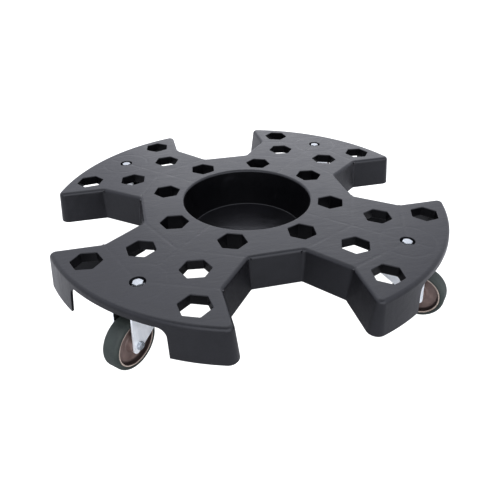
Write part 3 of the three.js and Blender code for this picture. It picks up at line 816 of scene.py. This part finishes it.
def upper_race():
    """The pressed cap over the balls, with a rounded shoulder and a rolled lower edge."""
    under = HEAD_TOP - CAP_SHEET
    path = [(CAP_BORE, under), (CAP_FLAT, under)]
    path += arc(CAP_INSIDE - CAP_INSIDE_ROUND, under - CAP_INSIDE_ROUND, CAP_INSIDE_ROUND, 90, 0, 5)[1:]
    path += [(CAP_INSIDE, CAP_LOW)]
    path += arc((CAP_INSIDE + CAP_OUTSIDE) / 2, CAP_LOW + 0.4, CAP_EDGE_ROUND, 200, 340, 4)
    path += arc(CAP_OUTSIDE - CAP_ROUND, HEAD_TOP - CAP_ROUND, CAP_ROUND, 0, 90, 8) + [(CAP_BORE, HEAD_TOP)]
    return merged(lathe(path, 72))


def kingpin():
    """A hollow rivet with a rounded flange at its foot and a small chamfer above the flange."""
    flange_top = KINGPIN_LOW + 2 * KINGPIN_FLANGE_ROUND
    path = [(BOLT_CLEARANCE, KINGPIN_LOW)]
    path += arc(KINGPIN_FLANGE, KINGPIN_LOW + KINGPIN_FLANGE_ROUND, KINGPIN_FLANGE_ROUND, -90, 90, 6)
    path += [(KINGPIN_RADIUS + 0.4, flange_top + 0.2), (KINGPIN_RADIUS, flange_top + 0.6),
             (KINGPIN_RADIUS, HEAD_TOP), (BOLT_CLEARANCE, HEAD_TOP)]
    return merged(lathe(path, 48))


def mounting_nut():
    high = KINGPIN_LOW - GAP
    return merged(hex_body(M8, high - M8["nut"], high, M8["radius"] + GAP, True))


def axle_bolt(leg_outside):
    end = leg_outside + M6["nut"] + AXLE_END_PROUD
    verts, faces = merged(hex_body(M6, leg_outside, leg_outside + M6["head"], 0, False),
                          threaded_rod(M6, -end, leg_outside + HEAD_OVERLAP, AXLE_THREAD - leg_outside))
    return about_axle(verts), faces


def axle_nut(leg_outside):
    """A lock nut: a hexagon with a rounded collar on its outer side."""
    high, bore = M6["nut"], M6["radius"] + GAP
    foot, top = high - 0.5, high + LOCK_COLLAR_HEIGHT
    radius, edge = LOCK_COLLAR_RADIUS, LOCK_COLLAR_ROUND
    collar = [(bore, foot), (radius, foot)] + arc(radius - edge, top - edge, edge, 0, 90, 5) + [(bore, top)]
    verts, faces = merged(hex_body(M6, 0.0, high, bore, True), lathe(collar, 48))
    return about_axle([(x, -y, -leg_outside - z) for x, y, z in verts]), faces


def wheel_rim():
    """The wheel centre: hub, thin web, and a deep dish up to a rounded lip, alike on both sides."""
    lip = RIM_HALF_WIDTH - RIM_LIP_ROUND
    hub = HUB_RADIUS - HUB_ROUND
    half = [(HUB_BORE, HUB_HALF_WIDTH), (hub, HUB_HALF_WIDTH)]
    half += arc(hub, HUB_HALF_WIDTH - HUB_ROUND, HUB_ROUND, 90, 0, 4)[1:]
    half += [(12.0, 7.2)] + arc(14.6, 7.0, HUB_FOOT_ROUND, 180, 270, 5)[1:]
    half += [(20.0, 4.35), (25.4, WEB_HALF)]
    half += arc(25.6, WEB_HALF + RIM_DISH_ROUND, RIM_DISH_ROUND, 270, 355, 6) + [(29.6, lip - 0.4)]
    half += arc(30.4, lip, RIM_LIP_ROUND, 180, 90, 4)
    half += arc(RIM_RADIUS - RIM_LIP_ROUND, lip, RIM_LIP_ROUND, 90, 0, 4)
    profile = [(r, -y) for r, y in half] + half[::-1]
    verts, faces = merged(lathe(profile, 96))
    return about_axle(verts), faces


def wheel_tread():
    """A solid tyre with a flat tread, round shoulders and a small step where it meets the rim."""
    half = WHEEL_HALF_WIDTH
    start = WHEEL_RADIUS - TREAD_SHOULDER
    shoulder = arc(start, half - TREAD_SHOULDER, TREAD_SHOULDER, 0, 90, 10)
    side = [(RIM_RADIUS + 0.15, half - 0.35), (RIM_RADIUS, half - 1.2)]
    upper = [(WHEEL_RADIUS, 3.0)] + shoulder + side
    profile = [(r, -y) for r, y in upper[::-1]] + upper
    verts, faces = merged(lathe(profile, 128))
    return about_axle(verts), faces


def castor_shapes():
    """Every fine castor piece as name: (verts, faces, material slot, CAD node that it stands for)."""
    seat = DECK_TOP - POCKET_DEPTH + GAP
    washer_top = seat + WASHER_THICKNESS
    leg_outside = LEG_MIDDLE + SHEET / 2 + GAP
    return {
        "mounting_bolt_fine": (*mounting_bolt(washer_top + GAP), "zinc", "mounting_bolt"),
        "washer_fine": (*washer(seat, washer_top), "zinc", "washer"),
        "upper_race_fine": (*upper_race(), "zinc", "upper_race"),
        "kingpin_fine": (*kingpin(), "steel", "kingpin"),
        "mounting_nut_fine": (*mounting_nut(), "zinc", "mounting_nut"),
        "axle_bolt_fine": (*axle_bolt(leg_outside), "zinc", "axle_bolt"),
        "axle_nut_fine": (*axle_nut(leg_outside), "zinc", "axle_nut"),
        "wheel_rim_fine": (*wheel_rim(), "rim", "wheel_rim"),
        "wheel_tread_fine": (*wheel_tread(), "tread", "wheel_tread"),
    }


def crown_dish(low):
    """The raised raceway pressed into the crown, and the round edge that it runs out to."""
    (foot_inner, foot_outer), (inner, outer) = DISH_FOOT, RACEWAY
    top = CROWN_TOP + RACEWAY_HEIGHT
    edge = DISH_RADIUS - DISH_EDGE_ROUND
    path = [(DISH_BORE, low + 0.2), (edge + 0.2, low + 0.2)]
    path += arc(edge, CROWN_TOP - DISH_EDGE_ROUND, DISH_EDGE_ROUND, 0, 90, 3) + [(foot_outer, CROWN_TOP)]
    path += arc(outer, top, RACEWAY_HEIGHT, 20, 90, 3) + arc(inner, top, RACEWAY_HEIGHT, 90, 160, 3)
    path += [(foot_inner, CROWN_TOP), (DISH_BORE, CROWN_TOP)]
    return lathe(path, 72)


def make_castor(name, swivel, roll, materials):
    """All of one castor's fine pieces, placed on its swivel and riding on their bodies."""
    sx, sy = swivel["pos_m"][:2]
    rx, ry = roll["pos_m"][:2]
    place = Matrix.Translation((sx, sy, 0)) @ Matrix.Rotation(math.atan2(ry - sy, rx - sx), 4, "Z")
    bodies = frame["record"]["behaviour"]["bodies"]
    body_of = {node: body for body, nodes in bodies.items() for node in nodes}

    def settle(obj, node):
        obj.matrix_world = place
        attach(obj, body_of[f"{name}_{node}"])
        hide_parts(f"{name}_{node}")

    for piece, (verts, faces, slot, node) in castor_shapes().items():
        material = materials[FASTENERS.get(node, slot)]
        obj = link(f"{name}_{piece}", verts, faces, material, 34.0)
        if piece == "wheel_rim_fine":
            obj.data.materials.append(materials["ring"])
            for polygon in obj.data.polygons:
                c = polygon.center / MM - Vector((TRAIL, 0, WHEEL_RADIUS))
                on_ring = math.hypot(c.x, c.z) > RING_INSIDE and abs(c.y) > RING_HALF_WIDTH
                polygon.material_index = int(on_ring)
        settle(obj, node)
    fork = make_fork(f"{name}_fork_fine", materials["zinc"])
    fork.data.materials.append(materials["shaded_zinc"])
    # Faces that look at the wheel or down get a darker copy of the zinc: painted shade.
    for polygon in fork.data.polygons:
        normal = polygon.normal
        faces_wheel = normal.y * polygon.center.y < 0 and abs(normal.y) > INNER_FACING
        polygon.material_index = int(faces_wheel or normal.z < -INNER_FACING)
    settle(fork, "fork")
    dish = crown_dish(CROWN_TOP - SHEET)
    obj = link(f"{name}_fork_crown", dish.verts, dish.faces, materials["zinc"])
    obj.matrix_world = place
    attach(obj, body_of[f"{name}_fork"])


# -------------------- materials

def from_srgb(r, g, b):
    """A linear colour from 8-bit display values."""
    def channel(c):
        c /= 255
        return c / 12.92 if c <= 0.04045 else ((c + 0.055) / 1.055) ** 2.4
    return (channel(r), channel(g), channel(b), 1.0)


class Tree:
    """Short names for building a material's nodes."""

    def __init__(self, name):
        self.material = bpy.data.materials.new(name)
        self.material.use_nodes = True
        self.nodes = self.material.node_tree.nodes
        self.links = self.material.node_tree.links
        self.shader = self.nodes["Principled BSDF"]
        self.position = self.nodes.new("ShaderNodeTexCoord").outputs["Object"]

    def put(self, socket, value):
        if isinstance(value, bpy.types.NodeSocket):
            self.links.new(value, socket)
        else:
            socket.default_value = value

    def set(self, **inputs):
        for key, value in inputs.items():
            self.put(self.shader.inputs[key.replace("_", " ")], value)

    def math(self, operation, a, b=0.0):
        node = self.nodes.new("ShaderNodeMath")
        node.operation = operation
        self.put(node.inputs[0], a)
        self.put(node.inputs[1], b)
        return node.outputs[0]

    def plus(self, a, b):
        return self.math("ADD", a, b)

    def minus(self, a, b):
        return self.math("SUBTRACT", a, b)

    def times(self, a, b):
        return self.math("MULTIPLY", a, b)

    def noise(self, scale, detail, roughness, vector=None, distortion=0.0):
        node = self.nodes.new("ShaderNodeTexNoise")
        self.put(node.inputs["Vector"], vector or self.position)
        settings = {"Scale": scale, "Detail": detail, "Roughness": roughness, "Distortion": distortion}
        for key, value in settings.items():
            node.inputs[key].default_value = value
        return node.outputs["Fac"]

    def stretched(self, scale):
        """The position squeezed by a different factor along each axis."""
        node = self.nodes.new("ShaderNodeMapping")
        self.put(node.inputs["Vector"], self.position)
        node.inputs["Scale"].default_value = scale
        return node.outputs[0]

    def axes(self):
        split = self.nodes.new("ShaderNodeSeparateXYZ")
        self.put(split.inputs[0], self.position)
        return split.outputs

    def length(self, a, b):
        return self.math("SQRT", self.plus(self.times(a, a), self.times(b, b)))

    def span(self, value, low, high, to_low=0.0, to_high=1.0):
        """Maps low..high to to_low..to_high, clamped."""
        node = self.nodes.new("ShaderNodeMapRange")
        node.clamp = True
        for socket, v in zip(node.inputs, (value, low, high, to_low, to_high)):
            self.put(socket, v)
        return node.outputs[0]

    def line(self, distance, width):
        """1 on a line, falling smoothly to 0 at this distance from it."""
        fade = self.span(self.math("ABSOLUTE", distance), 0.0, width, 1.0, 0.0)
        fade.node.interpolation_type = "SMOOTHSTEP"
        return fade

    def mix(self, factor, a, b):
        """From a to b, each a socket or a colour in 8-bit display values."""
        node = self.nodes.new("ShaderNodeMix")
        node.data_type = "RGBA"
        self.put(node.inputs[0], factor)
        for socket, colour in zip(node.inputs[6:8], (a, b)):
            self.put(socket, from_srgb(*colour) if isinstance(colour, tuple) else colour)
        return node.outputs[2]

    def bump(self, height, distance, strength, normal=None):
        node = self.nodes.new("ShaderNodeBump")
        node.inputs["Strength"].default_value = strength
        node.inputs["Distance"].default_value = distance
        self.put(node.inputs["Height"], height)
        if normal is not None:
            self.put(node.inputs["Normal"], normal)
        return node.outputs[0]


# How the fine lines in a metal's surface are squeezed along each axis.
PRESSED = (1.0, 1.0, 0.15)
TURNED = (0.3, 0.3, 1.0)


def sink_marks(t):
    """1 where a rib or boss ring lies under the deck and the moulding has sunk a little, 0 elsewhere."""
    *sides, height = t.axes()
    x, y = (t.math("ABSOLUTE", side) for side in sides)
    root = math.sqrt(0.5)
    along = t.times(t.plus(x, y), root)
    across = t.math("ABSOLUTE", t.times(t.minus(x, y), root))
    from_bolt = t.minus(along, CASTOR_CIRCLE * MM)
    bolt_distance = t.length(from_bolt, across)
    past_bowl = t.span(along, BOWL_MOUTH_RADIUS * MM, (BOWL_MOUTH_RADIUS + SINK_START) * MM)
    marks = [t.times(t.line(across, SINK_WIDTH * MM), past_bowl),
             t.line(t.minus(bolt_distance, BOSS_RING_RADIUS * MM), SINK_WIDTH * MM)]
    for (corner_along, corner_across), start in zip(rib_ends(), (RIB_JUNCTION, CASTOR_CIRCLE)):
        length = math.hypot(corner_along - start, corner_across)
        unit = ((corner_along - start) / length, corner_across / length)
        offset = t.minus(along, start * MM)
        beside = t.minus(t.times(offset, unit[1]), t.times(across, unit[0]))
        reach = t.plus(t.times(offset, unit[0]), t.times(across, unit[1]))
        begun = t.span(reach, 0.0, SINK_FADE * MM)
        ended = t.span(reach, length * MM, (length + SINK_FADE) * MM, 1.0, 0.0)
        marks.append(t.times(t.line(beside, SINK_WIDTH * MM), t.times(begun, ended)))
    total = marks[0]
    for mark in marks[1:]:
        total = t.math("MAXIMUM", total, mark)
    on_deck = t.span(height, (DECK_TOP - 0.2) * MM, (DECK_TOP - 0.1) * MM)
    uneven = t.span(t.noise(30.0, 3.0, 0.6), 0.35, 0.65, 0.15, 1.0)
    return t.times(t.times(total, on_deck), uneven)


def plastic_material(name, sheen, darkest, darker):
    """Satin black plastic with faint clouds, flow marks, scuffs and sink marks.

    sheen is the strength of its reflections; darkest and darker are the two colours of its clouds.
    """
    t = Tree(name)
    cloud = t.noise(9.0, 4.0, 0.6)
    patch = t.noise(42.0, 4.0, 0.62, distortion=0.6)
    flow = t.noise(26.0, 4.0, 0.6, t.stretched((1.0, 3.2, 1.0)), distortion=0.8)
    grain = t.noise(1600.0, 2.0, 0.6)
    scuff = t.noise(7.0, 6.0, 0.7, t.stretched((1.0, 9.0, 4.0)))
    sunk = sink_marks(t)
    tone = t.plus(t.times(cloud, 0.45), t.times(patch, 0.55))
    colour = t.mix(t.span(tone, 0.35, 0.65), darkest, darker)
    colour = t.mix(t.span(grain, 0.5, 0.8, 0.0, 0.2), colour, (38, 39, 44))
    colour = t.mix(t.span(scuff, 0.62, 0.8, 0.0, 0.2), colour, (60, 60, 66))
    rough = t.plus(t.span(tone, 0.3, 0.7, 0.27, 0.39), t.span(scuff, 0.55, 0.8, 0.0, 0.08))
    rough = t.minus(rough, t.times(sunk, 0.05))
    normal = t.bump(t.noise(700.0, 3.0, 0.6), 0.00012, 0.7)
    normal = t.bump(flow, 0.0012, 0.36, normal)
    normal = t.bump(patch, 0.0010, 0.3, normal)
    normal = t.bump(t.minus(1.0, sunk), SINK_DEPTH * MM, 1.0, normal)
    t.set(Base_Color=colour, Roughness=rough, Normal=normal, Specular_Tint=(0.94, 0.96, 1.0, 1.0),
          Specular_IOR_Level=sheen)
    return t.material


def metal_material(name, bright, dull, metallic, rough_low, rough_high, brushed=PRESSED):
    """Metal with clouds and fine lines. brushed squeezes the lines along each axis."""
    t = Tree(name)
    cloud = t.noise(60.0, 4.0, 0.6)
    line = t.noise(320.0, 3.0, 0.6, t.stretched(brushed))
    fine = t.noise(2600.0, 2.0, 0.5)
    tone = t.plus(t.times(cloud, 0.5), t.times(line, 0.5))
    colour = t.mix(t.span(tone, 0.35, 0.65), dull, bright)
    t.set(Base_Color=colour, Metallic=metallic, Roughness=t.span(tone, 0.3, 0.7, rough_low, rough_high),
          Normal=t.bump(t.plus(line, fine), 0.00006, 0.35))
    return t.material


def rubber_material():
    """Grey rubber with dust on it."""
    t = Tree("grey_rubber")
    cloud = t.noise(90.0, 4.0, 0.6)
    fine = t.noise(2200.0, 3.0, 0.65)
    dust = t.noise(35.0, 6.0, 0.7)
    colour = t.mix(t.span(cloud, 0.3, 0.7), (42, 49, 47), (54, 61, 58))
    colour = t.mix(t.span(dust, 0.55, 0.8, 0.0, 0.3), colour, (96, 98, 92))
    t.set(Base_Color=colour, Roughness=t.span(cloud, 0.3, 0.7, 0.55, 0.7),
          Normal=t.bump(fine, 0.00012, 0.5))
    return t.material


def dish_shade_mask(t):
    """1 on the wall of the wheel's dish, where shade is painted, 0 elsewhere."""
    x, _, z = t.axes()
    radius = t.length(t.minus(x, TRAIL * MM), t.minus(z, WHEEL_RADIUS * MM))
    start, full, last, end = (r * MM for r in DISH_SHADE_BAND)
    return t.times(t.span(radius, start, full), t.span(radius, last, end, 1.0, 0.0))


def wheel_plastic_material(name, dark, light, rough, dish_shade=None):
    """Moulded plastic with faint clouds between two colours, and painted shade on the wall of the dish."""
    t = Tree(name)
    cloud = t.noise(70.0, 4.0, 0.6)
    colour = t.mix(t.span(cloud, 0.35, 0.65), dark, light)
    if dish_shade:
        # Painted shade: the wall of the dish is darkened towards the shade colour.
        colour = t.mix(t.times(dish_shade_mask(t), 0.85), colour, dish_shade)
    t.set(Base_Color=colour, Roughness=t.span(cloud, 0.3, 0.7, *rough),
          Normal=t.bump(t.noise(1800.0, 2.0, 0.6), 0.0001, 0.4))
    return t.material


def floor_material():
    """Pale grey to the light that bounces off it, nearly shadowless white to the eye, clear from below."""
    t = Tree("pale_floor")
    t.set(Base_Color=(FLOOR_ALBEDO,) * 3 + (1.0,), Roughness=0.8, Specular_IOR_Level=0.0)
    glow = t.nodes.new("ShaderNodeEmission")
    glow.inputs["Strength"].default_value = FLOOR_GLOW
    seen = t.nodes.new("ShaderNodeLightPath").outputs["Is Camera Ray"]
    blend = t.nodes.new("ShaderNodeMixShader")
    t.put(blend.inputs[0], t.times(seen, FLOOR_WHITENESS))
    t.links.new(t.shader.outputs[0], blend.inputs[1])
    t.links.new(glow.outputs[0], blend.inputs[2])
    from_below = t.nodes.new("ShaderNodeMixShader")
    t.links.new(t.nodes.new("ShaderNodeNewGeometry").outputs["Backfacing"], from_below.inputs[0])
    t.links.new(blend.outputs[0], from_below.inputs[1])
    t.links.new(t.nodes.new("ShaderNodeBsdfTransparent").outputs[0], from_below.inputs[2])
    t.links.new(from_below.outputs[0], t.nodes["Material Output"].inputs["Surface"])
    return t.material


# -------------------- stage, camera, light

def make_stage():
    corners = [(-1, -1), (1, -1), (1, 1), (-1, 1)]
    verts = [(FLOOR_HALF * x, FLOOR_HALF * y, -FLOOR_DROP) for x, y in corners]
    floor = link("floor", verts, [(0, 1, 2, 3)], floor_material())


def back_direction(azimuth, elevation):
    """The direction from a target towards a viewer."""
    a, e = math.radians(azimuth), math.radians(elevation)
    return Vector((math.sin(a) * math.cos(e), -math.cos(a) * math.cos(e), math.sin(e)))


def make_camera():
    """A camera at the photograph's viewing angle, aimed a little off the middle of the deck."""
    target = Vector((0, 0, DECK_TOP * MM))
    where = target + back_direction(*CAMERA_PLACE) * CAMERA_DISTANCE
    back = back_direction(*CAMERA_AIM)
    right = Vector((0, 0, 1)).cross(back).normalized()
    up = back.cross(right)
    roll = math.radians(CAMERA_ROLL)
    across = right * math.cos(roll) + up * math.sin(roll)
    upward = up * math.cos(roll) - right * math.sin(roll)
    camera = bpy.data.cameras.new("camera")
    camera.sensor_width = 36.0
    camera.lens = CAMERA_LENS
    camera.clip_end = 100.0
    obj = add_object("camera", camera)
    basis = Matrix((across, upward, back)).transposed().to_4x4()
    obj.matrix_world = Matrix.Translation(where) @ basis
    bpy.context.scene.camera = obj


def area_light(name, where, target, size, power):
    light = bpy.data.lights.new(name, "AREA")
    light.shape = "RECTANGLE"
    light.size, light.size_y = size
    light.energy = power
    obj = add_object(name, light)
    direction = Vector(target) - Vector(where)
    obj.matrix_world = Matrix.Translation(where) @ direction.to_track_quat("-Z", "Y").to_matrix().to_4x4()


def make_light():
    """A world that brightens with height, three softboxes, and the view's exposure and gamma."""
    world = bpy.data.worlds.new("studio")
    world.use_nodes = True
    nodes, links = world.node_tree.nodes, world.node_tree.links
    background = nodes["Background"]
    background.inputs["Color"].default_value = WORLD_COLOUR
    height = nodes.new("ShaderNodeSeparateXYZ")
    links.new(nodes.new("ShaderNodeTexCoord").outputs["Generated"], height.inputs[0])
    total = nodes.new("ShaderNodeMath")
    total.operation = "MULTIPLY"
    for socket, span in zip(total.inputs, (WALL_LIGHT, CEILING_LIGHT)):
        fade = nodes.new("ShaderNodeMapRange")
        links.new(height.outputs[2], fade.inputs[0])
        for corner, value in zip(fade.inputs[1:5], span):
            corner.default_value = value
        links.new(fade.outputs[0], socket)
    links.new(total.outputs[0], background.inputs["Strength"])
    bpy.context.scene.world = world
    for softbox in SOFTBOXES:
        area_light(*softbox)
    view = bpy.context.scene.view_settings
    view.view_transform = "Standard"
    view.exposure = EXPOSURE
    view.gamma = CONTRAST_GAMMA


# -------------------- the scene

def dress_carried_nodes(materials):
    """Gives each CAD node that stays in view its detailed material."""
    slots = {entry["node"]: entry["material_slot"] for entry in frame["record"]["subparts"]}
    for node, obj in frame["nodes"].items():
        obj.data.materials.clear()
        obj.data.materials.append(materials[slots[node]])


make_camera()
MATERIALS = {
    "platform": plastic_material(
        "satin_black_plastic", 0.5, (12, 12, 15), (22, 22, 26)),
    # A darker, less glossy copy of the deck's plastic: painted shade on the walls of the bowl and the
    # hexagonal holes.
    "platform_shaded_walls": plastic_material(
        "shaded_black_plastic", 0.25, (6, 6, 8), (12, 12, 15)),
    "zinc": metal_material(
        "bright_zinc", (244, 246, 248), (230, 234, 237), 0.35, 0.3, 0.42),
    # A darker copy of the zinc: painted shade on the fork's inner and lower faces.
    "shaded_zinc": metal_material(
        "shaded_zinc", (96, 99, 102), (66, 69, 72), 0.9, 0.4, 0.55),
    "fastener": metal_material(
        "zinc_fastener", (200, 206, 212), (140, 146, 153), 0.8, 0.2, 0.34),
    "bolt": metal_material(
        "pale_zinc_bolt", (172, 176, 179), (138, 142, 146), 0.4, 0.3, 0.45),
    "steel": metal_material(
        "turned_steel", (170, 172, 175), (130, 132, 136), 0.92, 0.3, 0.42, TURNED),
    "tread": rubber_material(),
    # The last colour is the painted shade on the wall of the wheel's dish.
    "rim": wheel_plastic_material(
        "brown_wheel_plastic", (104, 89, 85), (128, 112, 107), (0.38, 0.5),
        (36, 27, 27)),
    "ring": wheel_plastic_material(
        "pale_ring", (160, 148, 139), (182, 170, 160), (0.45, 0.55)),
    "bush": wheel_plastic_material(
        "natural_nylon", (205, 202, 190), (222, 219, 208), (0.45, 0.55)),
}
dress_carried_nodes(MATERIALS)
make_platform(MATERIALS["platform"], MATERIALS["platform_shaded_walls"])
JOINTS = {joint["name"]: joint for joint in frame["joints"]}
for castor in CASTORS:
    make_castor(castor, JOINTS[f"{castor}_swivel"], JOINTS[f"{castor}_roll"], MATERIALS)
make_stage()
make_light()
